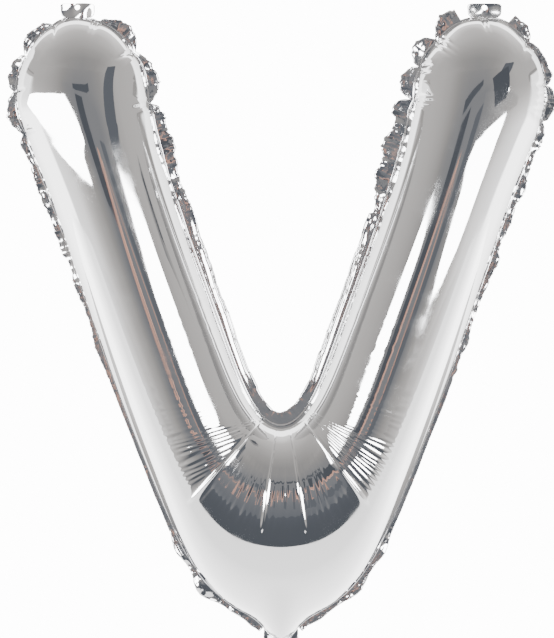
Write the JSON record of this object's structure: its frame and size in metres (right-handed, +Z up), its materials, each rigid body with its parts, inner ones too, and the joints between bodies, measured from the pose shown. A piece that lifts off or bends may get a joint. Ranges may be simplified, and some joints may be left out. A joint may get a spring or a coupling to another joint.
{
  "type": "letter foil balloon",
  "caption": "Blown-up silver foil letter V of two sheets welded round a flat margin, with hanging tabs on both arms and an inflation tail with a valve film at the foot.",
  "frame": {"origin": "in the air midway between the ribbon holes of the two hanging tabs, in the balloon's middle plane", "axes": "+Z up towards the arms' tops, +X towards the letter's right arm as read from the front, the front sheet faces -Y"},
  "size_m": [0.3232, 0.0776, 0.4178],
  "materials": {
    "foil": "mirror-bright silver metallised film with fine crinkles",
    "film": "clear, slightly milky polyethylene film"
  },
  "bodies": {
    "root": {"front_sheet": "foil", "back_sheet": "foil", "welded_margin": "foil", "hanging_tab_left": "foil", "hanging_tab_right": "foil", "inflation_tail": "foil", "valve_film": "film"}
  },
  "joints": []
}
